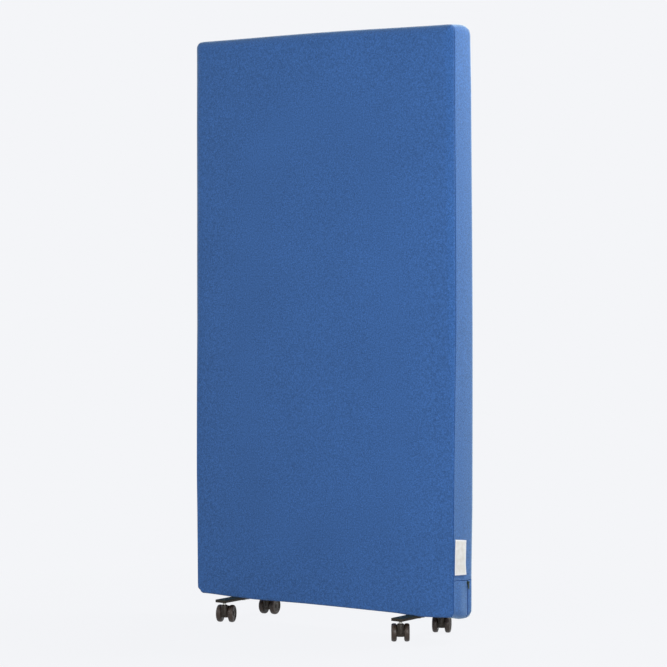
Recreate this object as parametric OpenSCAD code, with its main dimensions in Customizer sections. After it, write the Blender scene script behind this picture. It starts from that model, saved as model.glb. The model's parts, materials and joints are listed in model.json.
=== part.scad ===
// Rolling partition: a padded, fabric-covered screen that stands on two flat steel feet
// with a twin-wheel castor under each end.
// X runs along the panel's width, the front face looks to -Y, and Z is up from the floor.
// The origin lies on the floor, under the centre of the panel.

/* [Panel] */
// Width of the covered panel at its corners
panel_w = 900; // [700:10:1400]
// Height of the covered panel at its corners
panel_h = 1600; // [1100:10:2000]
// Corner radius seen from the front
corner_r = 18; // [12:1:30]
// Rounding from the face to the side
edge_r = 8; // [5:0.5:8.5]
// How far the foam crowns each face
face_crown = 3; // [1:0.5:6]
// How far the long sides bow outwards
side_bow = 3; // [0:0.5:6]
// How far the top edge bows upwards
top_bow = 2; // [0:0.5:5]

/* [Core] */
// Thickness of the timber frame
frame_t = 50; // [42:1:60]
// Width of the stiles and rails
timber_w = 44; // [36:1:70]
// Height of the middle rail's centre above the panel's underside
mid_rail_h = 800; // [400:10:900]
// Thickness of the boards on both sides of the frame
board_t = 3; // [2:0.5:6]
// Thickness of the foam on each face
foam_t = 20; // [12:1:30]
// Thickness of the foam along the sides and the top
edge_foam_t = 6; // [4:0.5:10]
// Diameter of the frame screws
screw_d = 5; // [3:0.5:6]
// Length of the frame screws
screw_l = 90; // [70:5:120]
// Distance between the two screws of a frame joint
screw_pitch = 22; // [14:1:24]

/* [Cover] */
// Thickness of the felted fabric
fabric_t = 2; // [1:0.25:3]
// How far the front piece comes round the side
front_wrap = 9; // [9:0.5:14]
// How far the back piece comes round the side
back_wrap = 26; // [12:0.5:28]
// Height of the cover's bottom strip up the sides
bottom_h = 100; // [80:5:200]

/* [Zip] */
// Width of one row of zip teeth
coil_w = 2.2; // [1.6:0.1:3]
// Height of the zip teeth
coil_h = 1.6; // [1:0.1:2]
// Gap between the two rows, where the slider's post runs
coil_gap = 1.4; // [1.2:0.1:2]
// Width of one zip tape
tape_w = 3.8; // [3.5:0.1:4.4]
// Thickness of the zip tapes
tape_t = 0.9; // [0.5:0.1:0.95]
// Length of the zip slider
slider_l = 10; // [7:0.5:14]
// Width of the zip slider
slider_w = 8.6; // [8:0.1:9]
// Thickness of the slider's two plates and of its pull
slider_t = 1.2; // [0.8:0.1:1.6]
// Length of the slider's pull
pull_l = 17; // [12:1:25]
// Width of the slider's pull
pull_w = 6; // [5:0.5:8]

/* [Label] */
// Width of the sewn label
label_w = 56; // [30:1:58]
// Height of the sewn label
label_h = 98; // [60:1:120]
// Height of the label above the seam of the bottom strip
label_up = 13; // [5:1:40]
// Thickness of the label
label_t = 0.5; // [0.3:0.1:1]

/* [Feet] */
// Distance from the panel's side to the middle of a foot
foot_inset = 141; // [80:1:250]
// Width of the flat steel foot
foot_w = 36; // [30:1:60]
// Thickness of the flat steel foot
foot_t = 8; // [6:1:12]
// Length of the foot past each castor stem
foot_end = 18; // [14:1:40]
// Distance between the two castor stems of a foot
stem_pitch = 195; // [170:1:400]
// Thickness of the plate between each foot and the frame, inside the cover
pad_t = 3; // [2:0.5:5]
// Width of that plate, along the panel
pad_w = 60; // [40:1:90]
// Length of that plate, across the panel
pad_l = 30; // [28:0.5:32]
// Diameter of the foot bolts
bolt_d = 8; // [6:1:10]
// Distance between the two bolts of a foot
bolt_pitch = 18; // [16:1:18]
// Length of the insert nuts in the bottom rail
nut_l = 18; // [12:1:24]

/* [Castors] */
// Diameter of the wheels
wheel_d = 50; // [46:1:75]
// Width of one wheel
wheel_w = 14; // [12:1:18]
// Width over both wheels of a castor
castor_w = 50; // [48:1:60]
// Distance from the swivel axis to the wheels' axle
trail = 18; // [12:1:24]
// Height of the castor's neck above the wheels
neck_over = 2; // [2:1:12]
// Length of stem that shows between neck and foot
stem_show = 8; // [3:1:15]
// Diameter of the threaded stem
stem_d = 10; // [9:1:12]
// Diameter of the pin on which the castor swivels
pin_d = 8; // [6:0.5:8]
// Length of that pin inside the neck
pin_l = 20; // [16:1:22]
// Diameter of the wheels' axle
axle_d = 6; // [5:0.5:8]
// Radius of the boss around the axle
boss_r = 12; // [8:0.5:14]
// Gap between each wheel and the castor's body
wheel_gap = 1.5; // [1:0.25:2.5]
// Thickness of the tyre
tyre_t = 3.5; // [2.5:0.5:6]
// Shoulder radius of the tyre
tyre_r = 3.2; // [1:0.2:3.4]

/* [How the castors stand] */
// Swivel of the castor at the front left
swivel_front_left = 23; // [-180:1:180]
// Swivel of the castor at the rear left
swivel_rear_left = 10; // [-180:1:180]
// Swivel of the castor at the front right
swivel_front_right = 36; // [-180:1:180]
// Swivel of the castor at the rear right
swivel_rear_right = 27; // [-180:1:180]

/* [Hidden] */
fabric_colour = [0.23, 0.39, 0.63];
side_colour = [0.30, 0.47, 0.72];
foam_colour = [0.93, 0.91, 0.80];
timber_colour = [0.80, 0.66, 0.46];
board_colour = [0.55, 0.42, 0.28];
infill_colour = [0.70, 0.70, 0.66];
steel_colour = [0.13, 0.12, 0.11];
zinc_colour = [0.72, 0.72, 0.70];
plastic_colour = [0.16, 0.14, 0.13];
tyre_colour = [0.24, 0.22, 0.21];
tape_colour = [0.10, 0.16, 0.30];
brass_colour = [0.28, 0.30, 0.26];
label_colour = [0.93, 0.93, 0.92];

$fn = 48;
over = 1;          // how far a cutting shape reaches past what it cuts
rest_gap = 0.3;    // gap between pieces that move past each other
run_gap = 0.05;    // radial clearance of a running fit
seat_gap = 0.1;    // gap between a sewn or laid piece and the fabric

// Layers across the panel
core_half = frame_t / 2 + board_t;
panel_t = 2 * (core_half + foam_t + fabric_t);
seam_front = -(panel_t / 2 - front_wrap);
seam_back = panel_t / 2 - back_wrap;

// Castor, foot and panel heights
castor_sides = ["left", "right"];
neck_top = wheel_d + neck_over;
foot_z0 = neck_top + stem_show;
foot_z1 = foot_z0 + foot_t;
panel_z0 = foot_z1 + pad_t;
panel_z1 = panel_z0 + panel_h;
panel_zc = (panel_z0 + panel_z1) / 2;
cross_seam_z = panel_z0 + bottom_h;
foot_x = panel_w / 2 - foot_inset;
foot_l = stem_pitch + 2 * foot_end;
foot_bevel = 0.8;

// Timber frame, which stands on the cover's bottom fabric
core_w = panel_w - 2 * (fabric_t + edge_foam_t);
core_z0 = panel_z0 + fabric_t;
core_z1 = panel_z1 - fabric_t - edge_foam_t;
rail_half = core_w / 2 - timber_w;
mid_rail_z = panel_z0 + mid_rail_h;
bottom_rail_z = core_z0 + timber_w / 2;
top_rail_z = core_z1 - timber_w / 2;
screw_head_r = screw_d;
screw_head_l = 0.8 * screw_d;

// Zip along the back of the bottom strip
zip_half = coil_gap / 2 + tape_w;
zip_y = seam_back - zip_half;
zip_front = zip_y - zip_half;
stop_l = 2;
slider_z = cross_seam_z - stop_l - rest_gap - slider_l / 2;
slider_travel = slider_z - slider_l / 2 - (panel_z0 + corner_r);
slider_way = 3;    // depth of the groove that the slider's back plate runs in
slider_post = 0.8;
bail_pin_r = 0.6;
bail_ear_t = 0.8;
bail_eye_r = 1.4;
pull_neck_w = 3.2;
pull_neck_l = 3;

// Castor pieces
yoke_w = castor_w - 2 * wheel_w - 2 * wheel_gap;
wheel_r = wheel_d / 2;
wheel_in = castor_w / 2 - wheel_w;
rim_r = wheel_r - tyre_t;
rim_t = 3.5;
hub_t = 3;
hub_r = axle_d / 2 + hub_t;
hub_wall = 1.2;
cap_share = 0.7;   // radius of the hub's outer face as a share of the hub's own
disc_t = 3;
disc_dish = 2.2;
rim_set = 0.5;
axle_half = castor_w / 2 - disc_dish - hub_wall;
ring_h = 1.2;
ring_lip = 0.9;
ring_up = 9;       // height of the retaining ring above the pin's end
body_taper = 1.5;

// Foot fastening
bolt_head_r = 0.85 * bolt_d;
bolt_head_h = 0.5 * bolt_d;
bolt_gap = 0.5;
nut_wall = 1.5;
nut_r = bolt_d / 2 + nut_wall;

// The plates over the feet keep clear of the zip under the panel
plate_y = min(0, zip_front - rest_gap - fabric_t - pad_l / 2);

CASTORS = [
    ["front_left", [-foot_x, -stem_pitch / 2], swivel_front_left],
    ["rear_left", [-foot_x, stem_pitch / 2], swivel_rear_left],
    ["front_right", [foot_x, -stem_pitch / 2], swivel_front_right],
    ["rear_right", [foot_x, stem_pitch / 2], swivel_rear_right]
];

// ---- Outline of the panel ----

corner_n = 5;      // steps in each rounded corner
side_n = 8;        // steps along each long side
top_n = 6;         // steps along the top and the bottom

// Points from a to b, without either
function between(a, b, n) = [for (i = [1:n - 1]) a + (b - a) * i / n];

// One rounded corner about c, starting at the angle q
function corner(c, r, q) = [for (i = [0:corner_n]) c + r * [cos(q + 90 * i / corner_n),
                                                         sin(q + 90 * i / corner_n)]];

// The panel's outline about its centre, drawn in by inset, with straight sides
function straight_outline(inset) =
    let (r = corner_r - inset, a = panel_w / 2 - corner_r, b = panel_h / 2 - corner_r)
    concat(
        corner([a, -b], r, -90), between([a + r, -b], [a + r, b], side_n),
        corner([a, b], r, 0), between([a, b + r], [-a, b + r], top_n),
        corner([-a, b], r, 90), between([-a - r, b], [-a - r, -b], side_n),
        corner([-a, -b], r, 180), between([-a, -b - r], [a, -b - r], top_n)
    );

// Outward bow of the long sides at a height z above the panel's centre
function bow_x(z) = side_bow * pow(cos(180 * z / panel_h), 2);

// Upward bow of the top edge at a distance x from the centre
function bow_z(x) = top_bow * pow(cos(180 * x / panel_w), 2);

// The outline with its sides and top bowed
function outline(inset) = [for (p = straight_outline(inset))
    [p.x * (1 + 2 * bow_x(p.y) / panel_w), p.y > 0 ? p.y * (1 + 2 * bow_z(p.x) / panel_h) : p.y]];

// X of the cover's side at a height z above the floor, on the straight stretches of its outline
side_points = [for (p = outline(0)) if (p.x > panel_w / 2 - seat_gap) [p.y, p.x]];
function side_x(z) = lookup(z - panel_zc, side_points);

// A block of the outline's shape between two depths
module slab(inset, y0, y1)
    translate([0, y1, panel_zc]) rotate([90, 0, 0]) linear_extrude(y1 - y0) polygon(outline(inset));

// A band of the outline's shape between two insets and two depths
module band(outer, inner, y0, y1)
    translate([0, y1, panel_zc]) rotate([90, 0, 0]) linear_extrude(y1 - y0) difference() {
        polygon(outline(outer));
        polygon(outline(inner));
    }

// Everything under, or over, a height
module under(z) translate([-panel_w, -panel_t, z - panel_h]) cube([2 * panel_w, 2 * panel_t, panel_h]);
module above(z) translate([-panel_w, -panel_t, z]) cube([2 * panel_w, 2 * panel_t, 2 * panel_h]);

// ---- Crowned faces ----

arris_n = 3;                           // steps in the rounding from face to side
crown_steps = [0.92, 0.75, 0.5, 0.2];  // shares of the outline at which the crown is shaped

// One ring of the outline at depth y, as a share s of its size
function ring(inset, y, s = 1) = [for (p = outline(inset)) [s * p.x, -y, s * p.y]];

// Rise of the crown inside the share s of the outline
function crown(s) = face_crown * (1 - pow(s, 3));

// Rings of one face, depth below the cover's surface, from y0 on the side to the middle
function face_rings(depth, y0) = concat(
    [ring(depth, y0)],
    [for (i = [0:arris_n]) let (q = 90 * i / arris_n, r = edge_r - depth)
        ring(depth + r * (1 - cos(q)), panel_t / 2 - edge_r + r * sin(q))],
    [for (s = crown_steps) ring(edge_r, panel_t / 2 - depth + crown(s), s)]
);

function reversed(list) = [for (i = [len(list) - 1:-1:0]) list[i]];

// A closed solid through a list of rings, with its first and last ring closed at a middle point
module skin(rings, first_y, last_y) {
    m = len(rings[0]);
    n = len(rings);
    points = concat([for (r = rings) for (p = r) p], [[0, -first_y, 0], [0, -last_y, 0]]);
    strips = [for (k = [0:n - 2]) for (i = [0:m - 1])
        let (a = k * m + i, b = k * m + (i + 1) % m) each [[a, b, b + m], [a, b + m, a + m]]];
    start = [for (i = [0:m - 1]) [n * m, (i + 1) % m, i]];
    end = [for (i = [0:m - 1]) [n * m + 1, (n - 1) * m + i, (n - 1) * m + (i + 1) % m]];
    translate([0, 0, panel_zc]) polyhedron(points, concat(strips, start, end), convexity = 4);
}

// The face's fabric, from the seam on the side over the crown
module face_fabric(wrap) {
    y0 = panel_t / 2 - wrap;
    skin(concat(reversed(face_rings(fabric_t, y0)), face_rings(0, y0)),
         panel_t / 2 - fabric_t + face_crown, panel_t / 2 + face_crown);
}

// The face's foam, flat against the board
module face_foam()
    skin(concat([ring(fabric_t, core_half)], face_rings(fabric_t, (core_half + panel_t / 2 - edge_r) / 2)),
         core_half, panel_t / 2 - fabric_t + face_crown);

// ---- Cover ----

module cover_front() color(fabric_colour) face_fabric(front_wrap);

module cover_back() color(fabric_colour) mirror([0, 1, 0]) face_fabric(back_wrap);

module cover_sides() color(side_colour) intersection() {
    band(0, fabric_t, seam_front, seam_back);
    above(cross_seam_z);
}

// Blocks of the size of the plates over the feet, grown by a margin, from z0 to z1
module over_feet(margin, z0, z1)
    for (x = [-foot_x, foot_x]) translate([x - pad_w / 2 - margin, plate_y - pad_l / 2 - margin, z0])
        cube([pad_w + 2 * margin, pad_l + 2 * margin, z1 - z0]);

// Holes for the foot bolts, from z0 to z1
module bolt_holes(r, z0, z1)
    for (x = [-foot_x, foot_x], y = [-bolt_pitch / 2, bolt_pitch / 2])
        translate([x, plate_y + y, z0]) cylinder(r = r, h = z1 - z0);

module cover_bottom() color(side_colour) difference() {
    union() {
        intersection() {
            band(0, fabric_t, seam_front, zip_front);
            under(cross_seam_z);
        }
        over_feet(fabric_t, foot_z1, core_z0);
    }
    over_feet(0, foot_z1 + fabric_t, core_z0 + fabric_t);
    bolt_holes(bolt_d / 2 + bolt_gap, foot_z1 - over, core_z0);
}

// ---- Zip ----

module zip_tapes() color(tape_colour) intersection() {
    union() {
        band(fabric_t - tape_t, fabric_t, zip_front, zip_front + tape_w);
        band(fabric_t - tape_t, fabric_t, seam_back - tape_w, seam_back);
    }
    under(cross_seam_z);
}

module zip_teeth() color(tape_colour) intersection() {
    union() {
        for (y = [zip_y - coil_gap / 2 - coil_w, zip_y + coil_gap / 2])
            band(fabric_t - tape_t - coil_h, fabric_t - tape_t, y, y + coil_w);
    }
    under(cross_seam_z - stop_l);
}

// The stops close both ends of the zip, above the last teeth
module zip_stops() color(brass_colour) for (x = [-1, 1])
    translate([x * (side_x(cross_seam_z) - fabric_t + tape_t + coil_h / 2), zip_y, cross_seam_z - stop_l / 2])
        cube([coil_h, coil_gap + 2 * coil_w, stop_l], center = true);

// Height of the slider's pieces over the zip tape's foot
slider_x = side_x(slider_z) - fabric_t + tape_t;
slider_top = coil_h + rest_gap;
bail_x = slider_top + slider_t + bail_eye_r + rest_gap;

module zip_slider() color(brass_colour) translate([slider_x, zip_y, slider_z]) {
    translate([slider_top, -slider_w / 2, -slider_l / 2]) cube([slider_t, slider_w, slider_l]);
    translate([-tape_t - rest_gap - slider_t, -slider_w / 2, -slider_l / 2])
        cube([slider_t, slider_w, slider_l]);
    translate([-tape_t - rest_gap - slider_t / 2, -slider_post / 2, slider_l / 2 - pull_neck_l])
        cube([slider_top + tape_t + rest_gap + slider_t, slider_post, pull_neck_l]);
    for (s = [-1, 1]) translate([0, s * (pull_neck_w / 2 + rest_gap + bail_ear_t / 2), 0]) {
        translate([slider_top + slider_t / 2, -bail_ear_t / 2, -bail_eye_r])
            cube([bail_x - slider_top - slider_t / 2, bail_ear_t, 2 * bail_eye_r]);
        translate([bail_x, 0, 0]) rotate([90, 0, 0]) cylinder(r = bail_eye_r, h = bail_ear_t, center = true);
    }
    translate([bail_x, 0, 0]) rotate([90, 0, 0])
        cylinder(r = bail_pin_r, h = pull_neck_w + 2 * rest_gap + bail_ear_t, center = true);
}

module zip_pull() color(brass_colour) translate([slider_x + bail_x, zip_y, slider_z]) difference() {
    union() {
        rotate([90, 0, 0]) cylinder(r = bail_eye_r, h = pull_neck_w, center = true);
        translate([-slider_t / 2, -pull_neck_w / 2, -pull_neck_l]) cube([slider_t, pull_neck_w, pull_neck_l]);
        translate([-slider_t / 2, -pull_w / 2, -pull_l]) cube([slider_t, pull_w, pull_l - pull_neck_l]);
    }
    rotate([90, 0, 0]) cylinder(r = bail_pin_r + run_gap, h = pull_neck_w + over, center = true);
}

// ---- Label ----

label_z0 = cross_seam_z + label_up;

module side_label() color(label_colour) translate([0, seam_front + label_w, 0]) rotate([90, 0, 0])
    linear_extrude(label_w) polygon([
        [side_x(label_z0) + seat_gap, label_z0],
        [side_x(label_z0) + seat_gap + label_t, label_z0],
        [side_x(label_z0 + label_h) + seat_gap + label_t, label_z0 + label_h],
        [side_x(label_z0 + label_h) + seat_gap, label_z0 + label_h]
    ]);

// ---- Foam ----

// Room in the foam for the slider's back plate along the slider's way
module slider_groove()
    translate([slider_x - tape_t - slider_way, zip_y - slider_w / 2 - rest_gap,
               slider_z - slider_l / 2 - slider_travel - rest_gap])
        cube([slider_way + over, slider_w + 2 * rest_gap, slider_l + slider_travel + 2 * rest_gap]);

module foam_front() color(foam_colour) face_foam();

module foam_back() color(foam_colour) difference() {
    mirror([0, 1, 0]) face_foam();
    slider_groove();
}

module foam_top() color(foam_colour) intersection() {
    slab(fabric_t, -core_half, core_half);
    above(core_z1);
}

module foam_side(s) intersection() {
    slab(fabric_t, -core_half, core_half);
    translate([s > 0 ? core_w / 2 : -panel_w, -panel_t, panel_z0])
        cube([panel_w - core_w / 2, 2 * panel_t, core_z1 - panel_z0]);
}

module foam_left() color(foam_colour) foam_side(-1);

module foam_right() color(foam_colour) difference() {
    foam_side(1);
    slider_groove();
}

// ---- Frame, boards and infill ----

// A block of the core, kept inside the cover's rounded bottom corners
module core_block(x0, x1, half, z0, z1) intersection() {
    translate([x0, -half, z0]) cube([x1 - x0, 2 * half, z1 - z0]);
    slab(fabric_t, -half - over, half + over);
}

module core_board(y0) intersection() {
    translate([-core_w / 2, y0, core_z0]) cube([core_w, board_t, core_z1 - core_z0]);
    slab(fabric_t, y0 - over, y0 + board_t + over);
}

module board_front() color(board_colour) core_board(-core_half);

module board_back() color(board_colour) core_board(core_half - board_t);

// The screws of one stile, or with their heads opened to the side, the holes for them
module screws(s, reach = 0)
    for (z = [bottom_rail_z, mid_rail_z, top_rail_z], y = [-screw_pitch / 2, screw_pitch / 2])
        translate([s * core_w / 2, y, z]) rotate([0, -s * 90, 0]) {
            cylinder(d = screw_d, h = screw_l);
            cylinder(r1 = screw_head_r, r2 = screw_d / 2, h = screw_head_l);
            translate([0, 0, -reach]) cylinder(r = screw_head_r, h = reach);
        }

module frame_screws() color(zinc_colour) for (s = [-1, 1]) screws(s);

module stile(s) difference() {
    core_block(s > 0 ? rail_half : -core_w / 2, s > 0 ? core_w / 2 : -rail_half, frame_t / 2,
               core_z0, core_z1);
    screws(s, over);
}

module frame_stile_left() color(timber_colour) stile(-1);

module frame_stile_right() color(timber_colour) stile(1);

module rail(z) difference() {
    translate([0, 0, z]) cube([2 * rail_half, frame_t, timber_w], center = true);
    for (s = [-1, 1]) screws(s);
}

module frame_rail_top() color(timber_colour) rail(top_rail_z);

module frame_rail_middle() color(timber_colour) rail(mid_rail_z);

module frame_rail_bottom() color(timber_colour) difference() {
    rail(bottom_rail_z);
    bolt_holes(nut_r, core_z0 - over, core_z0 + nut_l);
}

module infill(z0, z1)
    translate([-rail_half, -frame_t / 2, z0]) cube([2 * rail_half, frame_t, z1 - z0]);

module infill_upper() color(infill_colour) infill(mid_rail_z + timber_w / 2, core_z1 - timber_w);

module infill_lower() color(infill_colour) infill(core_z0 + timber_w, mid_rail_z - timber_w / 2);

// ---- Feet ----

module insert_nuts() color(zinc_colour) difference() {
    bolt_holes(nut_r, core_z0, core_z0 + nut_l);
    bolt_holes(bolt_d / 2 + run_gap, core_z0 - over, core_z0 + nut_l + over);
}

module foot_plates() color(zinc_colour) difference() {
    over_feet(0, foot_z1 + fabric_t, foot_z1 + fabric_t + pad_t);
    bolt_holes(bolt_d / 2 + bolt_gap, foot_z1, core_z0 + over);
}

// A flat bar with its long edges eased
module foot(x) difference() {
    translate([x, foot_l / 2, foot_z0]) rotate([90, 0, 0]) linear_extrude(foot_l) polygon([
        [-foot_w / 2 + foot_bevel, 0], [foot_w / 2 - foot_bevel, 0],
        [foot_w / 2, foot_bevel], [foot_w / 2, foot_t - foot_bevel],
        [foot_w / 2 - foot_bevel, foot_t], [-foot_w / 2 + foot_bevel, foot_t],
        [-foot_w / 2, foot_t - foot_bevel], [-foot_w / 2, foot_bevel]
    ]);
    bolt_holes(bolt_d / 2 + bolt_gap, foot_z0 - over, foot_z1 + over);
    for (y = [-stem_pitch / 2, stem_pitch / 2]) translate([x, y, foot_z0 - over])
        cylinder(d = stem_d, h = foot_t + 2 * over);
}

module foot_left() color(steel_colour) foot(-foot_x);

module foot_right() color(steel_colour) foot(foot_x);

module foot_bolts() color(zinc_colour) union() {
    bolt_holes(bolt_d / 2, foot_z0, core_z0 + nut_l);
    bolt_holes(bolt_head_r, foot_z0 - bolt_head_h, foot_z0);
}

// ---- Castors ----

// Puts a piece drawn about its own swivel axis, with the wheels trailing to +Y, where castor c stands
module at_castor(c) translate([c[1].x, c[1].y, 0]) rotate([0, 0, c[2]]) children();

ring_z = neck_top - pin_l + ring_up;

module castor_stem() difference() {
    union() {
        translate([0, 0, neck_top + rest_gap]) cylinder(d = stem_d, h = foot_z1 - neck_top - rest_gap);
        translate([0, 0, neck_top - pin_l]) cylinder(d = pin_d, h = pin_l + stem_show);
    }
    translate([0, 0, ring_z]) difference() {
        cylinder(d = pin_d + over, h = ring_h);
        translate([0, 0, -over]) cylinder(r = pin_d / 2 - ring_lip, h = ring_h + 2 * over);
    }
}

module castor_stems() color(zinc_colour) for (c = CASTORS) at_castor(c) castor_stem();

module castor_rings() color(zinc_colour) for (c = CASTORS) at_castor(c)
    translate([0, 0, ring_z]) difference() {
        cylinder(r = pin_d / 2 + ring_lip, h = ring_h);
        translate([0, 0, -over]) cylinder(r = pin_d / 2 - ring_lip, h = ring_h + 2 * over);
    }

// Side view of the body's web: from the neck down to the boss around the axle
neck_r = yoke_w / 2;
neck_z0 = wheel_r + body_taper;
neck_share = 0.6;  // half width of the web's top as a share of the neck's radius
boss_from = 235;   // angles over which the web goes round the axle
boss_to = 410;
boss_n = 14;       // steps in that arc
tyre_n = 5;        // steps in each shoulder of the tyre

// n steps of an arc about c, from the angle q0 to q1
function arc(c, r, q0, q1, n) = [for (i = [0:n]) let (q = q0 + (q1 - q0) * i / n) c + r * [cos(q), sin(q)]];

yoke_side = concat(
    [[neck_r * neck_share, neck_top]],
    [[-neck_r * neck_share, neck_top], [-neck_r, neck_top - body_taper], [-neck_r, neck_z0]],
    arc([trail, wheel_r], boss_r, boss_from, boss_to, boss_n)
);

module yoke() difference() {
    union() {
        translate([0, 0, neck_z0]) cylinder(r = neck_r, h = neck_top - body_taper - neck_z0);
        translate([0, 0, neck_top - body_taper])
            cylinder(r1 = neck_r, r2 = neck_r - body_taper, h = body_taper);
        translate([-yoke_w / 2, 0, 0]) rotate([90, 0, 90]) linear_extrude(yoke_w) polygon(yoke_side);
    }
    translate([0, 0, neck_top - pin_l - rest_gap])
        cylinder(r = pin_d / 2 + run_gap, h = pin_l + rest_gap + over);
    translate([0, 0, ring_z - rest_gap])
        cylinder(r = pin_d / 2 + ring_lip + rest_gap, h = ring_h + 2 * rest_gap);
    translate([0, trail, wheel_r]) rotate([0, 90, 0])
        cylinder(d = axle_d, h = yoke_w + 2 * over, center = true);
}

module axle() translate([0, trail, wheel_r]) rotate([0, 90, 0])
    cylinder(d = axle_d, h = 2 * axle_half, center = true);

// Places a wheel profile, drawn as radius against distance from the castor's middle plane
module on_axle(s) translate([0, trail, wheel_r]) rotate([0, s * 90, 0]) children();

module wheel(s) on_axle(s) rotate_extrude() polygon([
    [axle_d / 2 + run_gap, yoke_w / 2 + rest_gap],
    [hub_r, yoke_w / 2 + rest_gap],
    [hub_r, castor_w / 2 - disc_dish - disc_t],
    [rim_r - rim_t, castor_w / 2 - disc_dish - disc_t],
    [rim_r - rim_t, wheel_in + rim_set],
    [rim_r, wheel_in + rim_set],
    [rim_r, castor_w / 2 - rim_set],
    [rim_r - rim_t / 2, castor_w / 2 - rim_set],
    [rim_r - rim_t, castor_w / 2 - disc_dish],
    [hub_r, castor_w / 2 - disc_dish],
    [hub_r * cap_share, castor_w / 2 - rim_set],
    [0, castor_w / 2 - rim_set],
    [0, axle_half + rest_gap],
    [axle_d / 2 + run_gap, axle_half + rest_gap]
]);

module tyre(s) on_axle(s) rotate_extrude() polygon(concat(
    [[rim_r, wheel_in]],
    arc([wheel_r - tyre_r, wheel_in + tyre_r], tyre_r, -90, 0, tyre_n),
    arc([wheel_r - tyre_r, castor_w / 2 - tyre_r], tyre_r, 0, 90, tyre_n),
    [[rim_r, castor_w / 2]]
));

// ---- The pieces, in their places ----

cover_front();
cover_back();
cover_sides();
cover_bottom();
zip_tapes();
zip_teeth();
zip_stops();
zip_slider();
zip_pull();
side_label();
foam_front();
foam_back();
foam_left();
foam_right();
foam_top();
board_front();
board_back();
infill_upper();
infill_lower();
frame_stile_left();
frame_stile_right();
frame_rail_top();
frame_rail_middle();
frame_rail_bottom();
frame_screws();
insert_nuts();
foot_plates();
foot_left();
foot_right();
foot_bolts();
castor_stems();
castor_rings();
for (c = CASTORS) {
    color(plastic_colour) at_castor(c) yoke();
    color(zinc_colour) at_castor(c) axle();
    for (i = [0, 1]) {
        color(plastic_colour) at_castor(c) wheel(2 * i - 1);
        color(tyre_colour) at_castor(c) tyre(2 * i - 1);
    }
}
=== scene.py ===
import json
import math

import bmesh
import bpy
import numpy as np
from mathutils import Matrix, Vector, noise


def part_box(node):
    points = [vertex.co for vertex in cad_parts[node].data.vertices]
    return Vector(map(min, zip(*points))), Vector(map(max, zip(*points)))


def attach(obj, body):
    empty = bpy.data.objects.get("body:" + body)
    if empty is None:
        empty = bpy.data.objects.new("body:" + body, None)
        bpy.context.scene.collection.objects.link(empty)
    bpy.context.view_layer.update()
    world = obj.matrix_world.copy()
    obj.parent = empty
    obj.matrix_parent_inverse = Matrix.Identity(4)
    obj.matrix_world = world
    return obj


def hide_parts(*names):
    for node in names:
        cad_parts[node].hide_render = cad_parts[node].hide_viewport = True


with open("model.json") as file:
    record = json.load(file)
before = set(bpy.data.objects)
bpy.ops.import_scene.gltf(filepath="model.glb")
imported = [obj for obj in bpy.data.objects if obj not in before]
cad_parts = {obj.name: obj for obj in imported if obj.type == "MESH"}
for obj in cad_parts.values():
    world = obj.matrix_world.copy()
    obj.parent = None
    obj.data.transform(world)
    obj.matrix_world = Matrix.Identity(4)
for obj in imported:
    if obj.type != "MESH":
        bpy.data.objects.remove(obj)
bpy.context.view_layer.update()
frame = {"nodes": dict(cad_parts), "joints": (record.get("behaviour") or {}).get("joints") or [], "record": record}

# Cover, front and back pieces: wool felt drawn over the foam, with a low crown and a rounded edge that ends in
# a seam on the side. The edge's rounding and the front seam drift with the height. The other soft pieces
# follow the same surface.
MM = 0.001
PANEL_W, PANEL_H, HALF_T = 0.900, 1.600, 0.050
CORNER_R = 0.018
SIDE_BOW = TOP_BOW = CROWN = 0.003
CROWN_IN = 0.026                # how far in from the outline the crown starts
PANEL_Z0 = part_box("cover_front")[0].z
PANEL_ZC = PANEL_Z0 + PANEL_H / 2
CROSS_SEAM_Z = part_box("cover_sides")[0].z
FABRIC_T = 1.5 * MM
LEAST_R = 3.2 * MM              # the front edge's tightest rounding
PAST_SEAM = 1.3                 # how deep that rounding goes, against how deep the seam lies
LEAST_SHARE = 0.68              # how far along it the seam lies at least
REAR_TURN = math.radians(40)    # how far round the rear edge the rear seam lies

# How far the front seam lies behind the face, against the height, and with it the front edge's rounding
SEAM_HEIGHTS = [0.12, 0.33, 0.44, 0.66, 0.85, 1.20, 1.43, 1.60]
SEAM_BEHIND = [0.0, 1.7 * MM, 2.8 * MM, 7.0 * MM, 11.6 * MM, 13.5 * MM, 13.3 * MM, 15.0 * MM]

# The rear edge's rounding against the height: rounder where the zip draws it in, and at the top. It stays
# under the corner's own radius, past which the edge's ring would cross itself.
REAR_HEIGHTS = [0.10, 0.19, 0.36, 1.50, 1.66]
REAR_RADII = [16 * MM, 15 * MM, 9 * MM, 9 * MM, 14 * MM]

# How far the cover's lower edge hangs, in millimetres across the panel: it rests on each foot, bulges beside
# it, and is slack towards the back of each side, where the zip is. From front to back go the rear hang's
# share, how the top rises, how it falls at its corners alone, and how the cross seam drops to the zip.
HANG_X = [-.450, -.400, -.350, -.327, -.291, -.240, -.180, -.060, .060, .240, .270, .291, .327, .340, .360,
          .390, .430, .450]
HANG_FRONT = [0, 0, 1.6, 2.6, 2.6, 3.8, 2.4, .6, .3, .6, 1, 2.6, 2.6, 4.2, 3.2, 1.4, -1.0, -1.6]
HANG_REAR = [6, 5, 3.5, 2.6, 2.6, 3.5, 2.4, .6, .3, .6, 1, 2.6, 2.6, 3.6, 4.5, 6, 7.5, 7.5]
HANG_BLUR, DEPTH_BLUR = 0.030, 0.020
DEPTHS = [-.050, -.045, -.033, -.014, .005, .020, .035, .050]
HANG_SHARE = [0, .02, .08, .42, 1.1, 1.25, .75, .35]
TOP_RISE = [0, .4, 1.2, 2.3, 3.0, 3.3, 3.0, 2.0]
TOP_FALL = [0, 0, 0, 0, 0, .5, 3, 7.5]
SEAM_SLOPE = [0, 1.2, 2.2, 0, -2.8, -3.5, -2.4, 0]

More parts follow.
